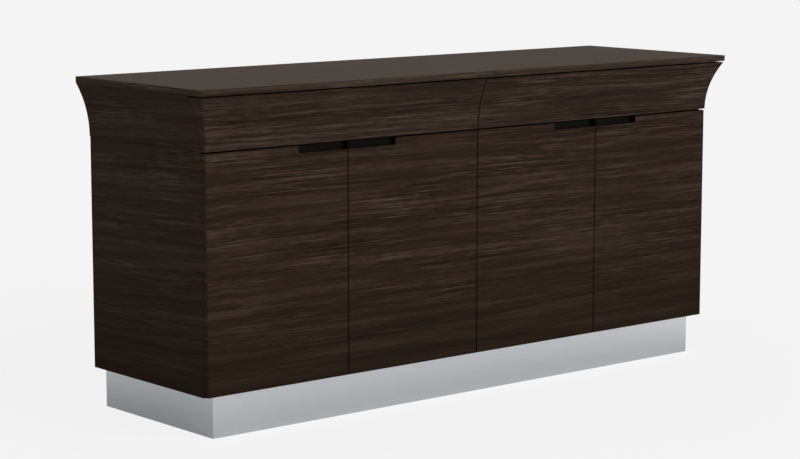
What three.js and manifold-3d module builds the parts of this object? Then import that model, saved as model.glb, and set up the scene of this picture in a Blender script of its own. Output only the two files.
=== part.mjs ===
// Office credenza: veneered case on a recessed metal-faced plinth, four hinged doors below
// two coved drawers, and a thin top that overhangs the cove. Millimetres, +Z up, floor at Z = 0,
// front towards -Y, origin on the floor under the middle of the top.
import * as THREE from "three";
import { mergeVertices } from "three/addons/utils/BufferGeometryUtils.js";
import Module from "manifold-3d";

const wasm = await Module();
wasm.setup();

// Overall sizes
const WIDTH = 1800;
const DEPTH = 540;
const HEIGHT = 850;
const TOP_THICKNESS = 16;
const TOP_OVERHANG = 40;
const BOARD = 18;
const BACK_THICKNESS = 8;
const GLUE_LINE = 0.3;

// Plinth
const PLINTH_HEIGHT = 105;
const PLINTH_BOARD = 16;
const PLINTH_SIDE_INSET = 30;
const PLINTH_FRONT_INSET = 25;
const PLINTH_REAR_INSET = 6.5;

// Fronts
const FRONT_GAP = 3;
const TOP_GAP = 3.5;
const DOOR_LIFT = 3;
const DOOR_THICKNESS = 18;
const DOOR_REVEAL = 1;
const DRAWER_FRONT_HEIGHT = 132.5;
const COVE_RADIUS = 265;
const COVE_STEP = 2;
const COVE_FACETS = 20;

// Finger pulls: a black channel let into the top edge of each door at its meeting side
const PULL_LENGTH = 152;
const PULL_NOTCH = 18;
const PULL_GROOVE = 12;
const PULL_LIP = 4;
const PULL_DEPTH = 14.5;
const PULL_WALL = 1.5;
const FINGER_GROOVE_RISE = 9;

// Shelves and the decks under the drawers
const SHELF_HEIGHT = 270;
const SHELF_SETBACK = 25;
const SHELF_DADO = 5;

// Drawer boxes and runners
const DRAWER_WALL = 12;
const DRAWER_WALL_HEIGHT = 92;
const DRAWER_LENGTH = 440;
const DRAWER_LIFT = 8;
const DRAWER_BASE = 6;
const DRAWER_BASE_RISE = 8;
const DRAWER_GROOVE = 6;
const RUNNER_SPACE = 13;
const RUNNER_LENGTH = 440;
const RUNNER_HEIGHT = 45;
const RUNNER_SHEET = 1.2;
const RUNNER_LAP = 8;
const RUNNER_PLAY = 0.4;
const RUNNER_RISE = 22;

// Concealed hinges
const CUP_RADIUS = 17.5;
const CUP_DEPTH = 12;
const CUP_EDGE = 5;
const CUP_SHEET = 1.2;
const CUP_FLANGE = 52;
const CUP_FLANGE_WIDTH = 24;
const CUP_SIDES = 32;
const HINGE_DISTANCE = 90;
const ARM_HEIGHT = 14;
const ARM_THICKNESS = 11;
const ARM_LENGTH = 58;
const ARM_KNEE = 9;
const ARM_BEND = 29;
const NOSE_START = 21;
const NOSE_WIDTH = 13;
const NOSE_PLAY = 0.5;
const NOSE_ROOT = 5.5;
const HINGE_PLATE = 2.5;
const HINGE_PLATE_HEIGHT = 48;
const HINGE_PLATE_LENGTH = 32;
const HINGE_PLATE_SETBACK = 1.5;
const CUT_MARGIN = 5;

// Planes that the pieces share
const halfBody = WIDTH / 2 - TOP_OVERHANG;
const sideInner = halfBody - BOARD;
const partitionFace = BOARD / 2;
const rearPlane = DEPTH / 2;
const frontPlane = -DEPTH / 2 + TOP_OVERHANG;
const frontBack = frontPlane + DOOR_THICKNESS;
const casePlane = frontBack + DOOR_REVEAL;
const backInner = rearPlane - BACK_THICKNESS;
const topUnderside = HEIGHT - TOP_THICKNESS;
const drawerTop = topUnderside - TOP_GAP;
const drawerBottom = drawerTop - DRAWER_FRONT_HEIGHT;
const doorTop = drawerBottom - FRONT_GAP;
const doorBottom = PLINTH_HEIGHT + DOOR_LIFT;
const notchFloor = doorTop - PULL_NOTCH;
const caseFloor = PLINTH_HEIGHT + BOARD;
const deckTop = drawerBottom - GLUE_LINE;
const deckUnderside = deckTop - BOARD;
const shelfUnderside = caseFloor + SHELF_HEIGHT;
const shelfFront = casePlane + SHELF_SETBACK;
const doorPitch = halfBody / 2;
const HANDS = [
  ["left", -1],
  ["right", 1],
];

const finishes = {
  veneer: new THREE.MeshStandardMaterial({ color: 0x3b2d26, roughness: 0.42, metalness: 0 }),
  lining: new THREE.MeshStandardMaterial({ color: 0x4a3b33, roughness: 0.6, metalness: 0 }),
  drawerBox: new THREE.MeshStandardMaterial({ color: 0x8a7d70, roughness: 0.6, metalness: 0 }),
  plinth: new THREE.MeshStandardMaterial({ color: 0xaeb0b4, roughness: 0.35, metalness: 0.9 }),
  pull: new THREE.MeshStandardMaterial({ color: 0x17181a, roughness: 0.5, metalness: 0.2 }),
  nickel: new THREE.MeshStandardMaterial({ color: 0xb9b7b0, roughness: 0.3, metalness: 1 }),
  zinc: new THREE.MeshStandardMaterial({ color: 0x9da1a4, roughness: 0.4, metalness: 1 }),
};

// A span given in either order, as low then high
function ordered(a, b) {
  return a < b ? [a, b] : [b, a];
}

// Box geometry that fills three spans
function boxGeometry(x, y, z) {
  const [[x0, x1], [y0, y1], [z0, z1]] = [ordered(...x), ordered(...y), ordered(...z)];
  const geometry = new THREE.BoxGeometry(x1 - x0, y1 - y0, z1 - z0);
  return geometry.translate((x0 + x1) / 2, (y0 + y1) / 2, (z0 + z1) / 2);
}

// A right prism: a closed outline in two axes, run along the third
function prism(outline, [from, to], basis) {
  const shape = new THREE.Shape(outline.map(([a, b]) => new THREE.Vector2(a, b)));
  const geometry = new THREE.ExtrudeGeometry(shape, { depth: to - from, bevelEnabled: false });
  geometry.translate(0, 0, from);
  return geometry.applyMatrix4(new THREE.Matrix4().makeBasis(...basis));
}

const AXIS_X = new THREE.Vector3(1, 0, 0);
const AXIS_Y = new THREE.Vector3(0, 1, 0);
const AXIS_Z = new THREE.Vector3(0, 0, 1);

// Outline of (y, z) points run along X
function alongX(outline, span) {
  return prism(outline, span, [AXIS_Y, AXIS_Z, AXIS_X]);
}

// Outline of (x, z) points run along Y
function alongY(outline, [from, to]) {
  return prism(outline, [-to, -from], [AXIS_X, AXIS_Z, AXIS_Y.clone().negate()]);
}

// Outline of (x, y) points run along Z
function alongZ(outline, span) {
  return prism(outline, span, [AXIS_X, AXIS_Y, AXIS_Z]);
}

// Round bar along Y, centred on (x, z)
function barAlongY(radius, [from, to], x, z) {
  const geometry = new THREE.CylinderGeometry(radius, radius, to - from, CUP_SIDES);
  return geometry.translate(x, (from + to) / 2, z);
}

function toSolid(geometry) {
  const bare = geometry.clone();
  bare.deleteAttribute("normal");
  bare.deleteAttribute("uv");
  const merged = mergeVertices(bare);
  const vertProperties = new Float32Array(merged.attributes.position.array);
  const triVerts = new Uint32Array(merged.index.array);
  return new wasm.Manifold(new wasm.Mesh({ numProp: 3, vertProperties, triVerts }));
}

function toGeometry(solid) {
  const { vertProperties, triVerts } = solid.getMesh();
  const geometry = new THREE.BufferGeometry();
  geometry.setAttribute("position", new THREE.BufferAttribute(vertProperties, 3));
  geometry.setIndex(new THREE.BufferAttribute(triVerts, 1));
  geometry.computeVertexNormals();
  return geometry;
}

function cut(geometry, ...tools) {
  const solid = tools.reduce((rest, tool) => rest.subtract(toSolid(tool)), toSolid(geometry));
  return toGeometry(solid);
}

function join(first, ...others) {
  const solid = others.reduce((sum, other) => sum.add(toSolid(other)), toSolid(first));
  return toGeometry(solid);
}

function common(first, second) {
  return toGeometry(toSolid(first).intersect(toSolid(second)));
}

function piece(name, geometry, finish) {
  const mesh = new THREE.Mesh(geometry, finishes[finish]);
  mesh.name = name;
  return mesh;
}

// A plain board that fills three spans, placed by its centre
function board(name, finish, x, y, z) {
  const geometry = boxGeometry(x, y, z);
  geometry.computeBoundingBox();
  const centre = geometry.boundingBox.getCenter(new THREE.Vector3());
  const mesh = piece(name, geometry.translate(-centre.x, -centre.y, -centre.z), finish);
  mesh.position.copy(centre);
  return mesh;
}

// How far the cove stands out from the doors and sides at height z
function coveOffset(z) {
  const rise = z - drawerBottom;
  return COVE_STEP + COVE_RADIUS - Math.sqrt(COVE_RADIUS ** 2 - rise ** 2);
}

// The cove's curve as (offset, z) points from its lower edge up to a height
function coveCurve(top) {
  return Array.from({ length: COVE_FACETS + 1 }, (_, step) => {
    const z = drawerBottom + ((top - drawerBottom) * step) / COVE_FACETS;
    return [coveOffset(z), z];
  });
}

// (x, z) outline of a coved end wall: flat inside, curved outside
function coveEndOutline(side, innerX, top) {
  const curve = coveCurve(top).map(([offset, z]) => [side * (halfBody + offset), z]);
  return [[innerX, drawerBottom], ...curve, [innerX, top]];
}

function plinth() {
  const group = new THREE.Group();
  const outerX = halfBody - PLINTH_SIDE_INSET;
  const innerX = outerX - PLINTH_BOARD;
  const front = frontPlane + PLINTH_FRONT_INSET;
  const rear = rearPlane - PLINTH_REAR_INSET;
  const frontInner = front + PLINTH_BOARD;
  const rearInner = rear - PLINTH_BOARD;
  const rise = [0, PLINTH_HEIGHT - GLUE_LINE];
  // Mitred corners, parted by the glue line
  const long = (outside, inside) => [
    [-outerX + GLUE_LINE, outside],
    [outerX - GLUE_LINE, outside],
    [innerX - GLUE_LINE, inside],
    [-innerX + GLUE_LINE, inside],
  ];
  group.add(piece("plinth_front", alongZ(long(front, frontInner), rise), "plinth"));
  group.add(piece("plinth_rear", alongZ(long(rear, rearInner), rise), "plinth"));
  for (const [hand, side] of HANDS) {
    const outline = [
      [side * outerX, front],
      [side * outerX, rear],
      [side * innerX, rearInner],
      [side * innerX, frontInner],
    ];
    group.add(piece(`plinth_${hand}`, alongZ(outline, rise), "plinth"));
  }
  const half = PLINTH_BOARD / 2;
  const run = [frontInner + GLUE_LINE, rearInner - GLUE_LINE];
  group.add(board("plinth_brace", "lining", [-half, half], run, rise));
  return group;
}

function carcass() {
  const group = new THREE.Group();
  const top = [topUnderside, HEIGHT];
  group.add(board("top_panel", "veneer", [-WIDTH / 2, WIDTH / 2], [-rearPlane, rearPlane], top));

  const innerX = sideInner - GLUE_LINE;
  const run = [casePlane, backInner - GLUE_LINE];
  group.add(board("bottom_panel", "lining", [-innerX, innerX], run, [PLINTH_HEIGHT, caseFloor]));
  const backRise = [PLINTH_HEIGHT, topUnderside - GLUE_LINE];
  group.add(board("back_panel", "lining", [-innerX, innerX], [backInner, rearPlane], backRise));

  // Stopped grooves hold the shelf ends
  const shelfGroove = (face, into) =>
    boxGeometry(
      [face - into * CUT_MARGIN, face + into * (SHELF_DADO + GLUE_LINE)],
      [shelfFront - GLUE_LINE, rearPlane + CUT_MARGIN],
      [shelfUnderside - GLUE_LINE, shelfUnderside + BOARD + GLUE_LINE],
    );
  const partition = boxGeometry(
    [-partitionFace, partitionFace],
    run,
    [caseFloor + GLUE_LINE, topUnderside - GLUE_LINE],
  );
  const partitionGrooves = HANDS.map(([, side]) => shelfGroove(side * partitionFace, -side));
  group.add(piece("centre_partition", cut(partition, ...partitionGrooves), "lining"));

  for (const [hand, side] of HANDS) {
    const panel = boxGeometry(
      [side * sideInner, side * halfBody],
      [casePlane, rearPlane],
      [PLINTH_HEIGHT, drawerBottom - GLUE_LINE],
    );
    const groove = shelfGroove(side * sideInner, side);
    group.add(piece(`${hand}_side_panel`, cut(panel, groove), "veneer"));

    const coveTop = topUnderside - GLUE_LINE;
    const outline = coveEndOutline(side, side * sideInner, coveTop);
    const cove = alongY(outline, [casePlane, rearPlane]);
    group.add(piece(`${hand}_side_cove`, cove, "veneer"));

    const bay = [side * (partitionFace + GLUE_LINE), side * innerX];
    group.add(board(`${hand}_deck`, "lining", bay, run, [deckUnderside, deckTop]));
    const shelfSpan = [side * (partitionFace - SHELF_DADO), side * (sideInner + SHELF_DADO)];
    const shelfRise = [shelfUnderside, shelfUnderside + BOARD];
    const shelfRun = [shelfFront, backInner - GLUE_LINE];
    group.add(board(`${hand}_shelf`, "lining", shelfSpan, shelfRun, shelfRise));
  }
  return group;
}

// One door in its own group: the origin is on the hinge line at floor height, x runs to the free edge
// on the side given by dir, and y runs back from the front face.
function door(index, hingeX, dir, width) {
  const group = new THREE.Group();
  group.position.set(hingeX, frontPlane, 0);
  const name = `door_${index}`;
  const along = (a, b) => [dir * a, dir * b];
  const rise = [doorBottom, doorTop];
  const pullStart = width - PULL_LENGTH;
  const grooveFloor = notchFloor - PULL_GROOVE;

  // The cut for the pull is open at the top, the front and the free edge
  const notch = boxGeometry(
    along(pullStart - GLUE_LINE, width + CUT_MARGIN),
    [-CUT_MARGIN, PULL_DEPTH + GLUE_LINE],
    [notchFloor, doorTop + CUT_MARGIN],
  );
  const pocket = boxGeometry(
    along(pullStart - GLUE_LINE, width + CUT_MARGIN),
    [PULL_LIP - GLUE_LINE, PULL_DEPTH + GLUE_LINE],
    [grooveFloor - GLUE_LINE, doorTop + CUT_MARGIN],
  );
  const cupX = dir * (CUP_EDGE + CUP_RADIUS);
  const cupHeights = [
    ["lower", doorBottom + HINGE_DISTANCE],
    ["upper", doorTop - HINGE_DISTANCE],
  ];
  const cupFloor = DOOR_THICKNESS - CUP_DEPTH;
  const rim = [DOOR_THICKNESS - CUP_SHEET, DOOR_THICKNESS];
  const wings = (z, ease, back) =>
    boxGeometry(
      [cupX - CUP_FLANGE_WIDTH / 2 - ease, cupX + CUP_FLANGE_WIDTH / 2 + ease],
      [rim[0] - ease, back],
      [z - CUP_FLANGE / 2 - ease, z + CUP_FLANGE / 2 + ease],
    );
  const outside = DOOR_THICKNESS + CUT_MARGIN;
  const boreSpan = [cupFloor - GLUE_LINE, outside];
  // Each cup is let in flush: a round bore for its bowl and a shallow one for its wings
  const bores = cupHeights.flatMap(([, z]) => [
    barAlongY(CUP_RADIUS + GLUE_LINE, boreSpan, cupX, z),
    wings(z, GLUE_LINE, outside),
  ]);
  const panel = boxGeometry(along(0, width), [0, DOOR_THICKNESS], rise);
  group.add(piece(`${name}_panel`, cut(panel, notch, pocket, ...bores), "veneer"));

  const blank = boxGeometry(along(pullStart, width), [0, PULL_DEPTH], [grooveFloor, doorTop]);
  const inside = along(pullStart + PULL_WALL, width - PULL_WALL);
  const underLip = boxGeometry(
    along(pullStart - CUT_MARGIN, width + CUT_MARGIN),
    [-CUT_MARGIN, PULL_LIP],
    [grooveFloor - CUT_MARGIN, notchFloor + GLUE_LINE],
  );
  const groove = boxGeometry(
    inside,
    [PULL_LIP + PULL_WALL, PULL_DEPTH - PULL_WALL],
    [grooveFloor + PULL_WALL, doorTop + CUT_MARGIN],
  );
  const mouth = boxGeometry(
    inside,
    [-CUT_MARGIN, PULL_DEPTH - PULL_WALL],
    [notchFloor, doorTop + CUT_MARGIN],
  );
  group.add(piece(`${name}_pull`, cut(blank, underLip, groove, mouth), "pull"));

  for (const [place, z] of cupHeights) {
    const bowl = barAlongY(CUP_RADIUS, [cupFloor, rim[1]], cupX, z);
    const hollow = barAlongY(CUP_RADIUS - CUP_SHEET, [cupFloor + CUP_SHEET, outside], cupX, z);
    const cup = cut(join(bowl, wings(z, 0, rim[1])), hollow);
    group.add(piece(`${name}_${place}_cup`, cup, "nickel"));
  }
  return group;
}

// Hinge arm in the same frame as its door: a plate on the case wall at distance wall from the hinge
// line, and an arm whose nose lies in the door's cup.
function hingeArm(name, hingeX, dir, wall, z) {
  const seat = wall + GLUE_LINE;
  const noseTip = DOOR_THICKNESS - CUP_DEPTH + CUP_SHEET + NOSE_PLAY;
  const noseBack = casePlane - frontPlane;
  const noseEnd = NOSE_START + NOSE_WIDTH;
  const rear = noseBack + ARM_LENGTH;
  const outline = [
    [seat, rear],
    [seat, noseBack + ARM_KNEE],
    [NOSE_START, noseBack],
    [NOSE_START, noseTip],
    [noseEnd, noseTip],
    [noseEnd, noseBack + NOSE_ROOT],
    [seat + ARM_THICKNESS, noseBack + ARM_BEND],
    [seat + ARM_THICKNESS, rear],
  ].map(([x, y]) => [dir * x, y]);
  const arm = alongZ(outline, [z - ARM_HEIGHT / 2, z + ARM_HEIGHT / 2]);
  const plate = boxGeometry(
    [dir * seat, dir * (seat + HINGE_PLATE)],
    [rear - HINGE_PLATE_LENGTH, rear - HINGE_PLATE_SETBACK],
    [z - HINGE_PLATE_HEIGHT / 2, z + HINGE_PLATE_HEIGHT / 2],
  );
  const mesh = piece(name, join(arm, plate), "nickel");
  mesh.position.set(hingeX, frontPlane, 0);
  return mesh;
}

function doors() {
  const group = new THREE.Group();
  const outerWidth = doorPitch - FRONT_GAP / 2;
  const innerWidth = doorPitch - FRONT_GAP;
  const innerWall = partitionFace - FRONT_GAP / 2;
  const places = [
    [-halfBody, 1, outerWidth, BOARD],
    [-FRONT_GAP / 2, -1, innerWidth, innerWall],
    [FRONT_GAP / 2, 1, innerWidth, innerWall],
    [halfBody, -1, outerWidth, BOARD],
  ];
  places.forEach(([hingeX, dir, width, wall], place) => {
    const index = place + 1;
    group.add(door(index, hingeX, dir, width));
    const lower = doorBottom + HINGE_DISTANCE;
    const upper = doorTop - HINGE_DISTANCE;
    group.add(hingeArm(`door_${index}_lower_hinge_arm`, hingeX, dir, wall, lower));
    group.add(hingeArm(`door_${index}_upper_hinge_arm`, hingeX, dir, wall, upper));
  });
  return group;
}

// Solid cove front: flat at the back, curved in front, its outer end following the side cove
function drawerFront(hand, side) {
  const curve = coveCurve(drawerTop).map(([offset, z]) => [frontPlane - offset, z]);
  const frontOutline = [[frontBack, drawerBottom], ...curve, [frontBack, drawerTop]];
  const reach = halfBody + TOP_OVERHANG + CUT_MARGIN;
  const frontBar = alongX(frontOutline, [-reach, reach]);
  const endOutline = coveEndOutline(side, (side * FRONT_GAP) / 2, drawerTop);
  const endBar = alongY(endOutline, [-rearPlane - CUT_MARGIN, frontBack + CUT_MARGIN]);
  const middle = side * doorPitch;
  const groove = boxGeometry(
    [middle - PULL_LENGTH, middle + PULL_LENGTH],
    [frontPlane + PULL_LIP, frontPlane + PULL_DEPTH - PULL_WALL],
    [drawerBottom - CUT_MARGIN, drawerBottom + FINGER_GROOVE_RISE],
  );
  return piece(`${hand}_drawer_front`, cut(common(frontBar, endBar), groove), "veneer");
}

// A C-shaped channel along Y: web at x = web, lips reaching towards x = lip
function channel(web, lip, halfHeight, z, run) {
  const inward = Math.sign(lip - web) * RUNNER_SHEET;
  const inner = halfHeight - RUNNER_SHEET;
  const outline = [
    [web, z - halfHeight],
    [lip, z - halfHeight],
    [lip, z - inner],
    [web + inward, z - inner],
    [web + inward, z + inner],
    [lip, z + inner],
    [lip, z + halfHeight],
    [web, z + halfHeight],
  ];
  return alongY(outline, run);
}

function drawer(hand, side) {
  const group = new THREE.Group();
  group.add(drawerFront(hand, side));

  const floor = deckTop + DRAWER_LIFT;
  const wallTop = floor + DRAWER_WALL_HEIGHT;
  const baseFloor = floor + DRAWER_BASE_RISE;
  const baseTop = baseFloor + DRAWER_BASE;
  const start = frontBack + GLUE_LINE;
  const rear = start + DRAWER_LENGTH;
  const wallFaces = [partitionFace, sideInner];
  const ends = [
    ["inner", wallFaces[0], 1],
    ["outer", wallFaces[1], -1],
  ];
  const runnerZ = floor + RUNNER_RISE + RUNNER_HEIGHT / 2;
  const runnerRun = [casePlane, casePlane + RUNNER_LENGTH];
  const half = RUNNER_HEIGHT / 2;

  for (const [place, face, inward] of ends) {
    const at = (distance) => side * (face + inward * distance);
    const outside = RUNNER_SPACE;
    const inside = RUNNER_SPACE + DRAWER_WALL;
    const blank = boxGeometry([at(outside), at(inside)], [start, rear], [floor, wallTop]);
    const groove = boxGeometry(
      [at(inside - DRAWER_GROOVE), at(inside + CUT_MARGIN)],
      [start - CUT_MARGIN, rear + CUT_MARGIN],
      [baseFloor - GLUE_LINE, baseTop + GLUE_LINE],
    );
    group.add(piece(`${hand}_drawer_${place}_wall`, cut(blank, groove), "drawerBox"));

    const caseLip = GLUE_LINE + RUNNER_LAP;
    const caseChannel = channel(at(GLUE_LINE), at(caseLip), half, runnerZ, runnerRun);
    group.add(piece(`${hand}_drawer_${place}_case_runner`, caseChannel, "zinc"));
    const drawerWeb = RUNNER_SPACE - GLUE_LINE;
    const nested = half - RUNNER_SHEET - RUNNER_PLAY;
    const drawerChannel = channel(
      at(drawerWeb),
      at(drawerWeb - RUNNER_LAP),
      nested,
      runnerZ,
      runnerRun,
    );
    group.add(piece(`${hand}_drawer_${place}_drawer_runner`, drawerChannel, "zinc"));
  }

  const innerSpan = wallFaces.map((face, end) => {
    const inward = end ? -1 : 1;
    return side * (face + inward * (RUNNER_SPACE + DRAWER_WALL + GLUE_LINE));
  });
  const backRun = [rear - DRAWER_WALL, rear];
  const backRise = [baseTop + GLUE_LINE, wallTop];
  group.add(board(`${hand}_drawer_back`, "drawerBox", innerSpan, backRun, backRise));
  const baseSpan = wallFaces.map((face, end) => {
    const inward = end ? -1 : 1;
    const reach = RUNNER_SPACE + DRAWER_WALL - DRAWER_GROOVE + GLUE_LINE;
    return side * (face + inward * reach);
  });
  const baseRise = [baseFloor, baseTop];
  group.add(board(`${hand}_drawer_base`, "drawerBox", baseSpan, [start, rear], baseRise));
  return group;
}

const credenza = new THREE.Group();
credenza.add(plinth(), carcass(), doors());
for (const [hand, side] of HANDS) {
  credenza.add(drawer(hand, side));
}

export default credenza;
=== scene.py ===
"""Looks for an office credenza: walnut fronts and top, coved drawers, black finger pulls, satin metal plinth.

Every length is in metres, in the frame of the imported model: +Z up, floor at zero, fronts towards -Y.
"""

import logging
import math
from collections.abc import Callable
from dataclasses import dataclass
from enum import Enum
from functools import cache, reduce

import bmesh
import bpy
import numpy as np
from bpy.types import Material, Mesh, Node, NodeOutputs, NodeSocket as Socket, NodeTree, Object
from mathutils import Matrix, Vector


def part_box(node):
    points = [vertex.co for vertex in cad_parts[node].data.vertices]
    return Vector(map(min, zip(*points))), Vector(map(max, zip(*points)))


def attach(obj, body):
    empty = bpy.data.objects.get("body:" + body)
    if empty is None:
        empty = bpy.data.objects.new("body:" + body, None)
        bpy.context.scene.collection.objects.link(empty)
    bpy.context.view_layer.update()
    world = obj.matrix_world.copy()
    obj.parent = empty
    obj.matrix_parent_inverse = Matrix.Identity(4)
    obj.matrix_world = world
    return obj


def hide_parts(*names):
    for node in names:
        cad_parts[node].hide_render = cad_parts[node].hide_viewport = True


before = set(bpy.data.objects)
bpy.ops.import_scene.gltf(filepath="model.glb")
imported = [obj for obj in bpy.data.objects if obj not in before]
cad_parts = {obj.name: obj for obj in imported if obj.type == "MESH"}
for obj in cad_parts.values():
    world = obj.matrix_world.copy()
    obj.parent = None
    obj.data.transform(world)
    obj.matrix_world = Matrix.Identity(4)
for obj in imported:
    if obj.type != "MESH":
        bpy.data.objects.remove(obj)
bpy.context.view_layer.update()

log = logging.getLogger("credenza")

GRAIN_MAP = "grain"
CASE = "case"
DOOR_COUNT = 4
ROUND_STEPS = 3
ROUND_ANGLES = np.linspace(0, math.pi / 2, ROUND_STEPS + 1)
CORNER_SHARE = 1.25
WELD_DISTANCE = 1e-5
FLAT_ANGLE = math.radians(0.5)
MIX_FIRST, MIX_SECOND, MIX_RESULT = 6, 7, 2
MIRROR_RAYS = ("Is Glossy Ray", "Is Transmission Ray")
UNIT = (0.0, 1.0)
UP = (0.0, 0.0, 1.0)
REARWARD = (0.0, 1.0, 0.0)

Span = tuple[float, float]
Triple = tuple[float, float, float]
Tone = tuple[int, int, int]
Colour = tuple[float, float, float, float]
Inputs = dict[str | int, object]
Values = dict[str, Socket]


class Axis(Enum):
    """One of the three directions of the frame."""

    X = 0
    Y = 1
    Z = 2


class Edge(Enum):
    """The edges of a board that a band covers."""

    FRONT = "front"
    UPPER = "upper"
    AROUND = "around"


class Side(Enum):
    """The sides of the plinth: the word in node names, the way the board runs, its plan's inner corners."""

    FRONT = ("front", Axis.X, (2, 3))
    REAR = ("rear", Axis.X, (0, 1))
    LEFT = ("left", Axis.Y, (1, 2))
    RIGHT = ("right", Axis.Y, (3, 0))


class Hand(Enum):
    """Left or right half of the case, valued by the sign of its x."""

    LEFT = -1
    RIGHT = 1

    @property
    def label(self) -> str:
        """The word that node names use for this half."""
        return self.name.lower()


class Texture(Enum):
    """What marks an even face: brushed lines, or the grain of plating or moulding."""

    BRUSHED = "brushed"
    PLATED = "plated"
    MOULDED = "moulded"


# Surfaces


def exact(length: float) -> float:
    """A length of the frame to the micrometre, free of the rounding of single precision."""
    return round(length, 6)


@dataclass
class Surface:
    """Points and faces of one closed skin."""

    points: np.ndarray
    faces: list[tuple[int, ...]]


def skin(rings: np.ndarray, lower_cap: bool = True) -> Surface:
    """Closes a stack of rings with quads between neighbours and one face at each end.

    Point j of ring i is joined to point j + 1 of that ring and to point j of ring i + 1.

    Args:
        rings: Array of shape (ring, point, 3), each ring anticlockwise seen from its run's far end.
        lower_cap: Whether the first ring gets its end face.

    Returns:
        The closed skin.
    """
    count, around = rings.shape[:2]
    index = np.arange(count * around).reshape(count, around)
    low, high = index[:-1], index[1:]
    quads = np.stack([low, np.roll(low, -1, 1), np.roll(high, -1, 1), high], -1)
    faces = [tuple(quad) for quad in quads.reshape(-1, 4).tolist()]
    faces.append(tuple(index[-1].tolist()))
    if lower_cap:
        faces.append(tuple(index[0, ::-1].tolist()))
    return Surface(rings.reshape(-1, 3), faces)


def eased_heights(low: float, high: float, ease: float, between: int = 0) -> np.ndarray:
    """Heights and insets of rings whose first and last edges are quarter rounds.

    At angle a the round is inset by ease (1 - sin a) and stands ease (1 - cos a) in from the end.

    Args:
        low: Height of the first ring.
        high: Height of the last ring.
        ease: Radius of the rounds.
        between: Number of plain rings between them.

    Returns:
        Array of shape (ring, 2) of height and inset.
    """
    inset = ease * (1 - np.sin(ROUND_ANGLES))
    rise = ease * (1 - np.cos(ROUND_ANGLES))
    middle = np.linspace(low + ease, high - ease, between + 2)[1:-1]
    lower = np.stack([low + rise, inset], 1)
    plain = np.stack([middle, np.zeros_like(middle)], 1)
    upper = np.stack([high - rise, inset], 1)[::-1]
    return np.concatenate([lower, plain, upper])


def raised(plans: np.ndarray, rows: np.ndarray) -> np.ndarray:
    """Rings of plan points, each ring at its row's height."""
    height = np.broadcast_to(rows[:, :1, None], plans.shape[:2] + (1,))
    return np.concatenate([plans, height], -1)


def rounded_rings(spans: np.ndarray, rows: np.ndarray, ease: float) -> np.ndarray:
    """Rings of rounded rectangles, one per row.

    A corner's points lie on a quarter circle about the corner moved in by its radius, which is a little
    more than the edges' own; the circle is smaller by the row's inset.

    Args:
        spans: Array of shape (ring, 4): low and high x, low and high y of each rectangle.
        rows: Array of shape (ring, 2): height and inset of each ring.
        ease: Radius of the edges.

    Returns:
        Array of shape (ring, point, 3).
    """
    radius = ease * CORNER_SHARE
    angles = (np.arange(4)[:, None] * math.pi / 2 - math.pi / 2 + ROUND_ANGLES).ravel()
    ways = np.stack([np.cos(angles), np.sin(angles)], -1)
    pick = np.repeat([(1, 2), (1, 3), (0, 3), (0, 2)], ROUND_STEPS + 1, axis=0)
    inward = 1 - 2 * (pick % 2)
    return raised(spans[:, pick] + inward * radius + (radius - rows[:, 1, None, None]) * ways, rows)


def board_surface(low: Vector, high: Vector, ease: float) -> Surface:
    """A board that fills a box, with all its edges rounded over.

    The rounded rectangle of its longer sides is carried through its thickness, along z, and its columns then
    move round together.

    Args:
        low: Lowest corner.
        high: Highest corner.
        ease: Radius of the edges.

    Returns:
        The closed skin.
    """
    corners = np.array([low, high], float)
    thin = int(np.argmin(corners[1] - corners[0]))
    rows = eased_heights(*corners[:, thin], ease)
    span = corners[:, [thin - 2, thin - 1]].T.ravel()
    rings = rounded_rings(np.broadcast_to(span, (len(rows), 4)), rows, ease)
    return skin(np.roll(rings, thin + 1, -1))


def board_of(node: str, ease: float, setback: float = 0.0) -> Surface:
    """A board with eased edges that fills a node's box, less a setback of its rear face."""
    low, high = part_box(node)
    return board_surface(low, high - setback * Vector(REARWARD), ease)


def mitred_surface(outline: np.ndarray, low: float, high: float, ease: float) -> Surface:
    """An upright board of any convex plan, with its long edges rounded over.

    Each corner moves in along the sum of its two edge normals, divided by one plus their product.

    Args:
        outline: Array of shape (point, 2), anticlockwise.
        low: Height of its lower edge.
        high: Height of its upper edge.
        ease: Radius of the edges.

    Returns:
        The closed skin.
    """
    along = np.roll(outline, -1, 0) - outline
    along /= np.linalg.norm(along, axis=1, keepdims=True)
    normal = np.stack([-along[:, 1], along[:, 0]], 1)
    before = np.roll(normal, 1, 0)
    mitre = (normal + before) / (1 + (normal * before).sum(1, keepdims=True))
    rows = eased_heights(low, high, ease)
    return skin(raised(outline + rows[:, 1, None, None] * mitre, rows))


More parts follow.
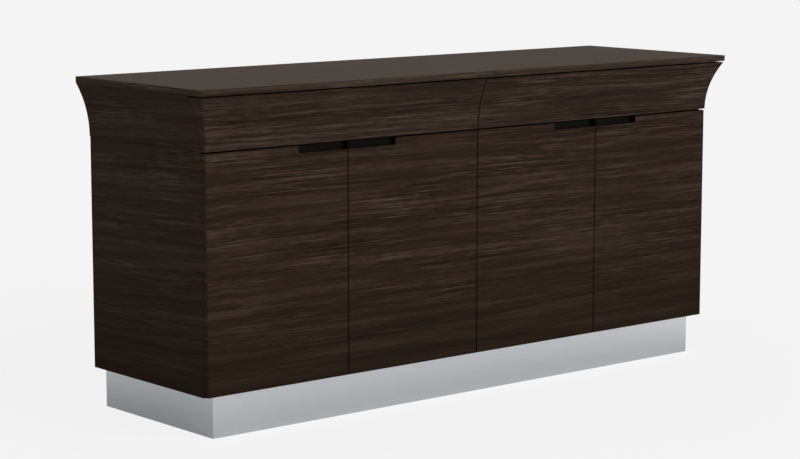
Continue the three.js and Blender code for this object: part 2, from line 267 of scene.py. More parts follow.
@dataclass(frozen=True)
class Head:
    """A low round head on a face, with a cross-shaped recess where its depth isn't zero.

    The rings, the cross and its fading edges are shares of the radius; crown, rim and seat, of the height.
    """

    radius: float
    height: float
    recess: float = 0.0
    rings: int = 9
    around: int = 32
    ring_span: Span = (0.06, 0.97)
    crown: float = 1.05
    rim: float = 0.02
    seat: float = -0.1
    arm: float = 0.13
    arm_edge: float = 1.6
    cross: float = 0.66
    cross_edge: float = 0.12

    def surface(self, places: list[Triple], way: Triple) -> Surface:
        """Several such heads as one skin.

        Over a polar grid a head stands height (crown - share of the radius squared) off the face, less the
        recess where the smaller distance to the arms of the cross is below an arm's half width and the larger
        below its half length. The last ring is sunk into the face.

        Args:
            places: The middle of each head.
            way: The level direction, of length one, that the heads face.

        Returns:
            The skin of all the heads.
        """
        share = np.append(np.linspace(*self.ring_span, self.rings), [1.0, 1.0])[:, None]
        turn = np.arange(self.around) * 2 * math.pi / self.around
        a, b = share * np.cos(turn), share * np.sin(turn)
        near, far = np.sort(np.abs([a, b]), axis=0)
        arms = np.clip(self.arm_edge - near / self.arm, 0, 1)
        inside = np.clip((self.cross - far) / self.cross_edge, 0, 1)
        dome = self.height * (self.crown - share**2)
        rise = np.maximum(dome - self.recess * arms * inside, self.rim * self.height)
        rise[-1] = self.seat * self.height
        one = skin(np.stack([self.radius * a, self.radius * b, rise], -1)[::-1])
        points = np.array(places)[:, None] + one.points @ np.stack([np.cross(UP, way), UP, way])
        starts = range(0, len(places) * len(one.points), len(one.points))
        faces = [tuple(start + corner for corner in face) for start in starts for face in one.faces]
        return Surface(points.reshape(-1, 3), faces)


# Meshes


def mesh_of(name: str, source: Surface | Mesh) -> Mesh:
    """Makes a mesh, smooth shaded.

    A skin's faces are turned outwards. A copied mesh has its loose triangles merged and the edges inside its
    flat faces cleared.

    Args:
        name: Name of the mesh.
        source: A skin, or the mesh to copy.

    Returns:
        The mesh.
    """
    mesh = bpy.data.meshes.new(name)
    work = bmesh.new()
    if isinstance(source, Surface):
        mesh.from_pydata(source.points.tolist(), [], source.faces)
        work.from_mesh(mesh)
        bmesh.ops.recalc_face_normals(work, faces=work.faces)
    else:
        work.from_mesh(source)
        bmesh.ops.remove_doubles(work, verts=work.verts, dist=WELD_DISTANCE)
        bmesh.ops.dissolve_limit(work, angle_limit=FLAT_ANGLE, verts=work.verts, edges=work.edges)
    work.to_mesh(mesh)
    work.free()
    mesh.shade_smooth()
    return mesh


def values_of(items: object, name: str, width: int = 1, kind: type = float) -> np.ndarray:
    """Reads one property of all the vertices, corners or faces of a mesh.

    Args:
        items: The mesh's own collection of them.
        name: The property.
        width: How many numbers each of them has.
        kind: Type of the numbers.

    Returns:
        Array of shape (item, width), or (item) where the width is one.
    """
    values = np.empty(len(items) * width, kind)
    items.foreach_get(name, values)
    return values if width == 1 else values.reshape(-1, width)


def added(name: str, data: bpy.types.ID) -> Object:
    """Puts a new object into the scene.

    Args:
        name: Its name.
        data: Its mesh, camera or lamp.

    Returns:
        The object.
    """
    made = bpy.data.objects.new(name, data)
    bpy.context.scene.collection.objects.link(made)
    return made


@dataclass(frozen=True)
class Figure:
    """How the figure lies on a board: the way it runs, its rise per metre along that way, and its shift."""

    grain: Axis
    slant: float = 0.0
    offset: Span = (0.0, 0.0)


FRONT_FIGURE = Figure(Axis.X)
DRAWER_FIGURE = Figure(Axis.X, 0.0, (3.9, 0.0))
TOP_FIGURE = Figure(Axis.X, 0.01, (0.6, 4.1))
BOTTOM_FIGURE = Figure(Axis.X, 0.01, (1.1, 5.2))
BACK_FIGURE = Figure(Axis.X, 0.01, (2.9, 6.6))
PARTITION_FIGURE = Figure(Axis.Z, 0.01, (0.2, 7.4))
BRACE_FIGURE = Figure(Axis.Y, 0.0, (0.4, 0.1))
RUNNER_FIGURE = Figure(Axis.Y)
END_FIGURES = {hand: Figure(Axis.Y, -0.05, (1.7 * hand.value, 0.0)) for hand in Hand}
INNER_FIGURES = {hand: Figure(Axis.X, 0.01, (0.9 * hand.value, 8.3)) for hand in Hand}
WALL_FIGURES = {hand: Figure(Axis.Y, 0.0, (0.3 * hand.value, 1.3)) for hand in Hand}
BOX_FIGURES = {hand: Figure(Axis.X, 0.0, (0.7 * hand.value, 2.1)) for hand in Hand}


def map_grain(mesh: Mesh, figure: Figure, ends: Figure | None) -> None:
    """Lays the mesh's grain map: u along the grain and v across it, in metres.

    A face is read along the grain axis and across the axis that is neither the grain's nor its normal's.
    A face that the grain runs into takes the figure of the ends, or is read along the longer of its own axes.

    Args:
        mesh: The mesh to map.
        figure: The figure of its faces.
        ends: The figure of the faces that the grain runs into, if they have their own.
    """
    points = values_of(mesh.vertices, "co", 3)
    sizes = values_of(mesh.polygons, "loop_total", kind=int)
    facing = np.repeat(np.abs(values_of(mesh.polygons, "normal", 3)).argmax(1), sizes)
    grain = figure.grain.value
    if ends is None:
        extent = np.ptp(points, axis=0)
        extent[grain] = 0.0
        ends = Figure(Axis(extent.argmax()), 0.0, figure.offset)
    end_on = facing == grain
    along = np.where(end_on, ends.grain.value, grain)
    across = 3 - along - facing
    slant = np.where(end_on, ends.slant, figure.slant)
    shift = np.where(end_on[:, None], ends.offset, figure.offset)
    place = points[values_of(mesh.loops, "vertex_index", kind=int)]
    row = np.arange(len(place))
    u = place[row, along]
    v = place[row, across] - slant * u
    layer = mesh.uv_layers.new(name=GRAIN_MAP)
    layer.uv.foreach_set("vector", (np.stack([u, v], 1) + shift).astype(np.float32).ravel())


# Shared effects


@dataclass(frozen=True)
class Mark:
    """A noise: how often it changes per metre, its detail, and the values that become zero and one."""

    pace: Triple
    detail: float
    reach: Span = (0.3, 0.7)
    roughness: float = 0.5


@dataclass
class Shading:
    """A node tree under construction."""

    tree: NodeTree

    def feed(self, node: Node, inputs: Inputs) -> None:
        """Links inputs of a node to sockets, or sets their own values.

        Args:
            node: The node.
            inputs: Sockets or values by the name or number of the input.
        """
        for name, source in inputs.items():
            if isinstance(source, Socket):
                self.tree.links.new(source, node.inputs[name])
            else:
                node.inputs[name].default_value = source

    def node(self, kind: str, inputs: Inputs, **settings: object) -> Node:
        """Adds a node.

        Args:
            kind: Blender's type name of the node.
            inputs: Sockets or values by the name or number of the input.
            settings: Property values by name.

        Returns:
            The new node.
        """
        made = self.tree.nodes.new(kind)
        for name, value in settings.items():
            setattr(made, name, value)
        self.feed(made, inputs)
        return made

    def math(self, operation: str, first: object, second: object = 0.0) -> Socket:
        """The result of a Math node on two values."""
        return self.node("ShaderNodeMath", {0: first, 1: second}, operation=operation).outputs[0]

    def product(self, *values: object) -> Socket:
        """The product of values."""
        return reduce(lambda left, right: self.math("MULTIPLY", left, right), values)

    def total(self, *values: object) -> Socket:
        """The sum of values."""
        return reduce(lambda left, right: self.math("ADD", left, right), values)

    def mean(self, first: Socket, second: Socket) -> Socket:
        """The value halfway between two values."""
        return self.total(self.product(first, 0.5), self.product(second, 0.5))

    def vector(self, operation: str, first: object, second: object) -> Socket:
        """The result of a Vector Math node on two vectors."""
        return self.node("ShaderNodeVectorMath", {0: first, 1: second}, operation=operation).outputs[0]

    def tint(self, colour: Socket, factor: Socket) -> Socket:
        """A colour times a value."""
        return self.node("ShaderNodeVectorMath", {0: colour, "Scale": factor}, operation="SCALE").outputs[0]

    def parts(self, vector: Socket) -> NodeOutputs:
        """The X, Y and Z of a vector."""
        return self.node("ShaderNodeSeparateXYZ", {0: vector}).outputs

    def noise(self, vector: Socket, mark: Mark) -> Socket:
        """A mark's noise over a vector in metres, about 0.5 on average."""
        inputs = {"Vector": self.vector("MULTIPLY", vector, mark.pace), "Scale": 1.0, "Detail": mark.detail}
        return self.node("ShaderNodeTexNoise", {**inputs, "Roughness": mark.roughness}).outputs["Fac"]

    def spread(self, value: Socket, target: Span = UNIT, source: Span = UNIT) -> Socket:
        """A value stretched from one range to another and held at its ends."""
        limits = dict(zip(("From Min", "From Max", "To Min", "To Max"), source + target))
        return self.node("ShaderNodeMapRange", {"Value": value, **limits}, clamp=True).outputs["Result"]

    def marks(self, vector: Socket, marks: dict[str, Mark]) -> Values:
        """Marks over a vector by name, each stretched to run from 0 to 1."""
        return {name: self.spread(self.noise(vector, mark), UNIT, mark.reach) for name, mark in marks.items()}

    def ramp(self, value: Socket, stops: dict[float, Colour]) -> Socket:
        """Turns a value into a colour between stops.

        Args:
            value: The value, from 0 to 1.
            stops: The colours by their places.

        Returns:
            The colour.
        """
        made = self.node("ShaderNodeValToRGB", {"Fac": value})
        elements = made.color_ramp.elements
        for place in list(stops)[len(elements):]:
            elements.new(place)
        for element, (place, colour) in zip(elements, stops.items()):
            element.position = place
            element.color = colour
        return made.outputs["Color"]

    def mixed(self, share: Socket, first: object, second: object) -> Socket:
        """Two colours mixed, with a share of the second."""
        inputs = {"Factor": share, MIX_FIRST: first, MIX_SECOND: second}
        return self.node("ShaderNodeMix", inputs, data_type="RGBA").outputs[MIX_RESULT]

    def bump(self, height: Socket, depth: float) -> Socket:
        """The normal of a height from 0 to 1, with the depth in metres of a height of 1."""
        inputs = {"Strength": 1.0, "Distance": depth, "Height": height}
        return self.node("ShaderNodeBump", inputs).outputs["Normal"]

    def grain(self) -> Socket:
        """The place on the grain map."""
        return self.node("ShaderNodeUVMap", {}, uv_map=GRAIN_MAP).outputs["UV"]

    def place(self) -> Socket:
        """The place in the object's own coordinates."""
        return self.node("ShaderNodeTexCoord", {}).outputs["Object"]

    def effect(self, fill: Callable[["Shading", Socket], Values], vector: Socket) -> NodeOutputs:
        """The values of a shared effect over a vector."""
        return self.node("ShaderNodeGroup", {"Vector": vector}, node_tree=group_of(fill)).outputs


@cache
def group_of(fill: Callable[[Shading, Socket], Values]) -> NodeTree:
    """Builds a shared effect as a node group, the first time it is asked for.

    Args:
        fill: Works the effect's values out from its vector, in the group's own tree.

    Returns:
        The group, with the values as its outputs.
    """
    tree = bpy.data.node_groups.new(fill.__name__, "ShaderNodeTree")
    tree.interface.new_socket("Vector", in_out="INPUT", socket_type="NodeSocketVector")
    shading = Shading(tree)
    values = fill(shading, shading.node("NodeGroupInput", {}).outputs["Vector"])
    for name in values:
        tree.interface.new_socket(name, in_out="OUTPUT", socket_type="NodeSocketFloat")
    shading.node("NodeGroupOutput", values)
    return tree


WANDER = Mark((1.7, 7.0, 1.0), 1.0)
WANDER_REACH = 0.016
RISE_SPAN = (0.12, 0.40)
WOOD_MARKS = {
    "Band": Mark((1.5, 40.0, 1.0), 2.0, (0.28, 0.72)),
    "Streak": Mark((1.7, 120.0, 1.0), 3.0, (0.26, 0.74), 0.6),
    "Fleck": Mark((22.0, 190.0, 1.0), 2.0, (0.28, 0.72)),
    "Pale": Mark((4.8, 260.0, 1.0), 1.0, (0.57, 0.72)),
    "Patch": Mark((2.4, 13.0, 1.0), 1.0, (0.36, 0.64)),
    "Pore": Mark((24.0, 1100.0, 1.0), 2.0, (0.52, 0.74)),
    "Tone": Mark((9.0, 45.0, 1.0), 2.0),
}
FIGURE_SHARES = {"Band": 0.3, "Streak": 0.56, "Fleck": 0.36}
COARSE_LINES = Mark((6.0, 900.0, 900.0), 2.0)
FINE_LINES = Mark((14.0, 3600.0, 3600.0), 2.0)
MOTTLE_MARKS = {"Cloud": Mark((14.0,) * 3, 3.0), "Speck": Mark((1900.0,) * 3, 1.0)}


def wood_figure(shading: Shading, vector: Socket) -> Values:
    """Bands, streaks, flecks, pale lines and pores along u: noises, each far longer along u than across.

    The reading across wanders by a slow noise first, so that no streak is ruler straight. Rise goes from 0
    near the floor to 1 higher up and drives painted shade and a quieter figure there, Patch from faint
    streaks to strong, and Tone in hue.

    Args:
        shading: The group's tree.
        vector: Where it is read.

    Returns:
        One value for each mark, and Rise.
    """
    wander = shading.math("SUBTRACT", shading.noise(vector, WANDER), 0.5)
    shift = shading.node("ShaderNodeCombineXYZ", {"Y": shading.product(wander, WANDER_REACH)})
    along = shading.vector("ADD", vector, shift.outputs[0])
    rise = shading.spread(shading.parts(along)["Y"], UNIT, RISE_SPAN)
    return {**shading.marks(along, WOOD_MARKS), "Rise": rise}


def brushed_lines(shading: Shading, vector: Socket) -> Values:
    """Hairlines along u as Line: the mean of two fine noises, far longer along u than across."""
    line = shading.mean(shading.noise(vector, COARSE_LINES), shading.noise(vector, FINE_LINES))
    return {"Line": shading.spread(line, UNIT, FINE_LINES.reach)}


def fine_mottle(shading: Shading, vector: Socket) -> Values:
    """Cloudy change over centimetres and a grain over half a millimetre, as Cloud and Speck."""
    return shading.marks(vector, MOTTLE_MARKS)


# Finishes


def linear(tone: Tone, cast: Triple | float = 1.0) -> Colour:
    """Turns an 8-bit display colour into linear light by the sRGB curve, times a cast.

    Args:
        tone: Red, green and blue from 0 to 255.
        cast: Factor of the light, or one for each channel.

    Returns:
        The colour in linear light, with a full alpha.
    """
    share = np.array(tone, float) / 255
    light = np.where(share <= 0.04045, share / 12.92, ((share + 0.055) / 1.055) ** 2.4)
    return (*(light * cast).tolist(), 1.0)


@dataclass(frozen=True)
class Finish:
    """A finish of the credenza and the slot that it belongs to."""

    name: str
    slot: str

    @cache
    def material(self) -> Material:
        """Makes the finish's material, the first time it is asked for.

        Returns:
            The material.
        """
        made = bpy.data.materials.new(self.name)
        made.use_nodes = True
        shading = Shading(made.node_tree)
        shading.feed(made.node_tree.nodes["Principled BSDF"], self.looks(shading))
        return made

    def looks(self, shading: Shading) -> Inputs:
        """Adds the finish's own nodes and gives what goes into its shader."""
        raise NotImplementedError


@dataclass(frozen=True)
class WoodFinish(Finish):
    """A figured wood face under a thin clear lacquer, with painted shade that darkens it near the floor,
    where its figure is also calmer.

    Casts are factors of red, green and blue, and places say where the tones lie in the figure.
    """

    dark: Tone = (29, 20, 14)
    middle: Tone = (47, 36, 28)
    light: Tone = (75, 60, 51)
    figure: float = 1.0
    specular: float = 0.012
    roughness: float = 0.6
    pore_depth: float = 0.00004
    # Painted shade: the colour's factor at the foot, rising to one higher up.
    painted_foot_shade: float = 0.73
    foot_calm: float = 0.25
    tone_places: Triple = (0.12, 0.5, 0.88)
    pale_share: float = 0.78
    faintest: float = 0.35
    warm_cast: Triple = (1.08, 0.95, 0.99)
    cool_cast: Triple = (0.94, 1.02, 0.97)
    pale_cast: Triple = (1.29, 1.4, 1.3)
    pore_tone: float = 0.82
    pore_roughness: float = 0.12

    def tones(self, shading: Shading, value: Socket, cast: Triple) -> Socket:
        """The colour of the figure's value, from 0 to 1, in the three tones under a cast."""
        colours = [linear(tone, cast) for tone in (self.dark, self.middle, self.light)]
        return shading.ramp(value, dict(zip(self.tone_places, colours)))

    def looks(self, shading: Shading) -> Inputs:
        """Colour from bands and streaks, pores a little darker and rougher, and cut in as bump.

        Args:
            shading: The material's tree.

        Returns:
            What goes into the shader.
        """
        wood = shading.effect(wood_figure, shading.grain())
        band, streak, fleck = (
            shading.product(shading.math("SUBTRACT", wood[name], 0.5), share)
            for name, share in FIGURE_SHARES.items()
        )
        patch = shading.spread(wood["Patch"], (self.faintest, 1.0))
        strength = shading.product(patch, shading.spread(wood["Rise"], (self.foot_calm, 1.0)))
        streaks = shading.product(shading.total(streak, fleck), strength)
        reach = 0.5 * self.figure
        value = shading.spread(shading.total(band, streaks, 0.5), (0.5 - reach, 0.5 + reach))
        tones = [self.tones(shading, value, cast) for cast in (self.warm_cast, self.cool_cast)]
        lines = shading.product(wood["Pale"], shading.product(strength, self.pale_share * self.figure))
        colour = shading.mixed(lines, shading.mixed(wood["Tone"], *tones), linear(self.light, self.pale_cast))
        pore = wood["Pore"]
        darker = shading.spread(pore, (1.0, self.pore_tone))
        # Painted shade: the colour darkens towards the floor.
        painted_shade_lift = shading.spread(wood["Rise"], (self.painted_foot_shade, 1.0))
        return {
            "Base Color": shading.tint(colour, shading.product(darker, painted_shade_lift)),
            "Roughness": shading.spread(pore, (self.roughness, self.roughness + self.pore_roughness)),
            "Specular IOR Level": self.specular,
            "Normal": shading.bump(shading.math("SUBTRACT", 1.0, pore), self.pore_depth),
        }


@dataclass(frozen=True)
class EvenFinish(Finish):
    """A metal or plastic face of one colour, which faint marks make darker here and lighter there."""

    colour: Tone
    texture: Texture
    roughness: float
    contrast: float
    drift: float
    depth: float
    metallic: float = 1.0
    specular: float = 0.5

    def looks(self, shading: Shading) -> Inputs:
        """Colour and roughness follow lines, clouds or, on plating, clouds and specks, and a bump stands up.

        Args:
            shading: The material's tree.

        Returns:
            What goes into the shader.
        """
        if self.texture is Texture.BRUSHED:
            mark = height = shading.effect(brushed_lines, shading.grain())["Line"]
        else:
            mottle = shading.effect(fine_mottle, shading.place())
            mark, height = mottle["Cloud"], mottle["Speck"]
        if self.texture is Texture.PLATED:
            mark = height = shading.mean(mark, height)
        ends = {place: linear(self.colour, 1 + (2 * place - 1) * self.contrast) for place in UNIT}
        return {
            "Base Color": shading.ramp(mark, ends),
            "Roughness": shading.spread(mark, (self.roughness - self.drift, self.roughness + self.drift)),
            "Metallic": self.metallic,
            "Specular IOR Level": self.specular,
            "Normal": shading.bump(height, self.depth),
        }


VENEER = WoodFinish("dark_walnut_veneer", "dark_veneer")
END_VENEER = WoodFinish("dark_walnut_end", "dark_veneer", (29, 21, 15), (48, 38, 30), (76, 63, 54), 0.72)
# Painted sheen: a lighter, greyer copy of the veneer for the coved drawer fronts, in place of their grazing
# reflection.
CROWN_SHEEN_VENEER = WoodFinish("dark_walnut_crown_painted_sheen", "dark_veneer", (29, 21, 16), (50, 39, 32), (78, 64, 56), 1.06)
SLAB_EDGE = WoodFinish("dark_walnut_slab_edge", "dark_veneer", (33, 25, 19), (56, 47, 39), (86, 73, 62))
# Painted shade: a near-black copy of the veneer on the doors' upper edges and roundings, darkening the gaps
# between and above the leaves.
GAP_SHADE_EDGE = WoodFinish("dark_painted_gap_shade", "dark_veneer", (15, 10, 7), (21, 15, 11), (30, 23, 18))
TOP_VENEER = WoodFinish("dark_walnut_top", "dark_veneer", (44, 31, 20), (58, 43, 29), (72, 55, 41), 0.6, 0.03)
LINING = WoodFinish(
    "brown_case_lining", "case_lining", (52, 41, 34), (60, 48, 41), (69, 57, 49), 0.7, 0.12, 0.55, 0.00002
)
DRAWER_BOARD = WoodFinish(
    "grey_drawer_board", "drawer_board",
    (112, 101, 90), (128, 117, 105), (142, 131, 118), 0.6, 0.2, 0.55, 0.00002,
)
PLINTH_METAL = EvenFinish(
    "satin_plinth_metal", "satin_metal", (232, 234, 238), Texture.BRUSHED, 0.28, 0.01, 0.01, 5e-7
)
NICKEL = EvenFinish("nickel_plate", "nickel_steel", (196, 194, 187), Texture.PLATED, 0.28, 0.05, 0.05, 3e-6)
ZINC = EvenFinish("zinc_plate", "zinc_steel", (172, 176, 180), Texture.PLATED, 0.4, 0.1, 0.1, 3e-6)
PULL_BLACK = EvenFinish(
    "matt_black_pull", "black_pull", (14, 13, 10), Texture.MOULDED, 0.45, 0.15, 0.05, 0.00002, 0.0, 0.025
)


# Sub-assemblies


@dataclass(frozen=True)
class Piece:
    """A piece: its name, the body that carries it, its finish, and the node it stands for, if any.

    It may have a figure, and another on the faces that the grain runs into. Where its sharp edges are eased,
    the rounding takes the finish of that number, or -1 for that of the faces beside it.
    """

    name: str
    body: str
    finish: Finish
    node: str = ""
    figure: Figure | None = None
    ends: Figure | None = None
    ease: float = 0.0
    rounding: int = -1


@dataclass
class Workshop:
    """Makes finished pieces and places them on the bodies that carry them."""

    flat_weight: int = 90
    bevel_steps: int = 2
    bevel_angle: float = math.radians(35.0)
    facing: float = 0.6
    count: int = 0

    def make(self, piece: Piece, surface: Surface | None = None) -> Object:
        """Makes a piece, rides it on its body and gives it its finish.

        Sharp edges are rounded over where asked, and broad faces with a figure stay flat in shading.

        Args:
            piece: What it is.
            surface: Its skin, where its shape isn't its node's own.

        Returns:
            The object.
        """
        mesh = mesh_of(piece.name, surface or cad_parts[piece.node].data)
        mesh.materials.append(piece.finish.material())
        made = added(piece.name, mesh)
        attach(made, piece.body)
        if piece.node:
            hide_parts(piece.node)
        if piece.ease:
            bevel = made.modifiers.new("eased_edges", "BEVEL")
            bevel.width = piece.ease
            bevel.material = piece.rounding
            bevel.segments = self.bevel_steps
            bevel.limit_method = "ANGLE"
            bevel.angle_limit = self.bevel_angle
        if piece.figure:
            map_grain(mesh, piece.figure, piece.ends)
            weights = made.modifiers.new("flat_faces", "WEIGHTED_NORMAL")
            weights.mode = "FACE_AREA"
            weights.weight = self.flat_weight
        self.count += 1
        log.info("%s rides on %s, %d faces", piece.name, piece.body, len(mesh.polygons))
        return made

    def band(self, board: Object, finish: Finish, edge: Edge) -> None:
        """Gives some of a board's edges another finish, as a glued-on band has, or painted shade.

        Args:
            board: The board.
            finish: Finish of the band.
            edge: The edges that it covers.
        """
        mesh = board.data
        mesh.materials.append(finish.material())
        normals = values_of(mesh.polygons, "normal", 3)
        banded = {
            Edge.FRONT: normals[:, 1] < -self.facing,
            Edge.UPPER: normals[:, 2] > self.facing,
            Edge.AROUND: np.abs(normals[:, 2]) < self.facing,
        }
        mesh.polygons.foreach_set("material_index", banded[edge].astype(np.int32))


@dataclass
class Plinth:
    """The recessed plinth: four mitred boards faced in metal and a brace across the middle."""

    shop: Workshop
    ease: float = 0.0008

    def build(self) -> None:
        """Makes the four boards, each shorter inside by a thickness at both ends, and the brace."""
        for side in Side:
            word, grain, inner = side.value
            piece = Piece(f"plinth_{word}_board", CASE, PLINTH_METAL, f"plinth_{word}", Figure(grain))
            low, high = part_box(piece.node)
            plan = np.array([(low.x, low.y), (high.x, low.y), (high.x, high.y), (low.x, high.y)])
            cut = exact(np.ptp(plan, axis=0).min())
            ends = inner, grain.value
            plan[ends] += cut * np.sign(plan.mean(0)[grain.value] - plan[ends])
            self.shop.make(piece, mitred_surface(plan, low.z, high.z, self.ease))
        brace = Piece("plinth_middle_brace", CASE, LINING, "plinth_brace", BRACE_FIGURE)
        self.shop.make(brace, board_of(brace.node, self.ease))


@dataclass
class Cove:
    """The hollow curve that the drawer fronts and the upper ends share.

    The frame gives the height of its foot, and the side panels and the doors' face that it stands out from.
    """

    radius: float = 0.265
    step: float = 0.002
    rings: int = 26
    foot: float = exact(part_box("left_side_cove")[0].z)
    half: float = exact(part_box("right_side_panel")[1].x)
    face: float = exact(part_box("door_1_panel")[0].y)

    def offset(self, height: np.ndarray) -> np.ndarray:
        """How far the curve stands out at a height: the step plus a circle's fall from its lowest point."""
        rise = height - self.foot
        return self.step + self.radius - np.sqrt(self.radius**2 - rise**2)

    def rings_of(self, low: Vector, high: Vector, hand: Hand, ease: float, fronted: bool) -> np.ndarray:
        """Rings of a block whose outer end, and whose front where asked, follow the curve.

        Args:
            low: Lowest corner of the block.
            high: Highest corner of the block.
            hand: Which half the block is on.
            ease: Radius of its edges.
            fronted: Whether its front follows the curve too.

        Returns:
            Array of shape (ring, point, 3).
        """
        rows = eased_heights(low.z, high.z, ease, self.rings)
        out = self.offset(rows[:, 0])
        level = np.ones(len(rows))
        front = self.face - out if fronted else low.y * level
        end = hand.value * (self.half + out)
        sides = (end, high.x * level) if hand is Hand.LEFT else (low.x * level, end)
        return rounded_rings(np.stack([*sides, front, high.y * level], 1), rows, ease)


@dataclass
class Case:
    """Top, ends, bottom, back, partition, decks and shelves."""

    shop: Workshop
    cove: Cove
    ease: float = 0.001
    grooved_ease: float = 0.0007
    cove_ease: float = 0.0008
    inner_ease: float = 0.0004
    plug_ease: float = 0.0002
    plug_snug: float = 0.0005
    back_setback: float = 0.0004
    back_screw: Head = Head(0.0035, 0.00036, 0.0003)
    screw_inset: float = 0.04
    screws_across: int = 9

    def end(self, hand: Hand) -> None:
        """Makes one end: its panel, the cove above it, and a tight plug in its shelf groove behind the shelf.

        Args:
            hand: Which end.
        """
        word, figure, ease = hand.label, END_FIGURES[hand], self.grooved_ease
        self.shop.make(Piece(f"{word}_end_panel", CASE, END_VENEER, f"{word}_side_panel", figure, ease=ease))
        block = Piece(f"{word}_end_cove", CASE, END_VENEER, f"{word}_side_cove", figure)
        rings = self.cove.rings_of(*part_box(block.node), hand, self.cove_ease, False)
        self.shop.make(block, skin(rings))
        shelf_low, shelf_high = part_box(f"{word}_shelf")
        panel_low, panel_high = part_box(f"{word}_side_panel")
        depth = (shelf_low.x, panel_high.x) if hand is Hand.LEFT else (panel_low.x, shelf_high.x)
        tight = Vector((self.plug_snug, 0.0, self.plug_snug))
        low = Vector((depth[0], shelf_high.y, shelf_low.z)) - tight
        high = Vector((depth[1], panel_high.y - self.plug_ease, shelf_high.z)) + tight
        plug = Piece(f"{word}_groove_plug", CASE, END_VENEER, figure=figure)
        self.shop.make(plug, board_surface(low, high, self.plug_ease))

    def back(self) -> None:
        """Makes the back, with screw heads in rows over the edges of the boards behind it."""
        back = Piece("back_board", CASE, LINING, "back_panel", BACK_FIGURE)
        self.shop.make(back, board_of(back.node, self.inner_ease, self.back_setback))
        low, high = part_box(back.node)
        across = np.linspace(low.x + self.screw_inset, high.x - self.screw_inset, self.screws_across)
        boards = [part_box(node) for node in ("bottom_panel", "left_shelf", "left_deck")]
        rows = [(board_low.z + board_high.z) / 2 for board_low, board_high in boards]
        places = [(x, high.y - self.back_setback, z) for x in across for z in rows]
        self.shop.make(Piece("back_screws", CASE, ZINC), self.back_screw.surface(places, REARWARD))

    def build(self) -> None:
        """Makes every board of the case."""
        top = Piece("top_board", CASE, TOP_VENEER, "top_panel", TOP_FIGURE)
        self.shop.band(self.shop.make(top, board_of(top.node, self.ease)), SLAB_EDGE, Edge.AROUND)
        bottom = Piece("bottom_board", CASE, LINING, "bottom_panel", BOTTOM_FIGURE)
        self.shop.make(bottom, board_of(bottom.node, self.inner_ease))
        self.back()
        partition = Piece(
            "middle_partition", CASE, LINING, "centre_partition", PARTITION_FIGURE, ease=self.grooved_ease
        )
        self.shop.band(self.shop.make(partition), VENEER, Edge.FRONT)
        for hand in Hand:
            self.end(hand)
            for node in (f"{hand.label}_deck", f"{hand.label}_shelf"):
                board = Piece(f"{node}_board", CASE, LINING, node, INNER_FIGURES[hand])
                self.shop.band(self.shop.make(board, board_of(node, self.inner_ease)), VENEER, Edge.FRONT)


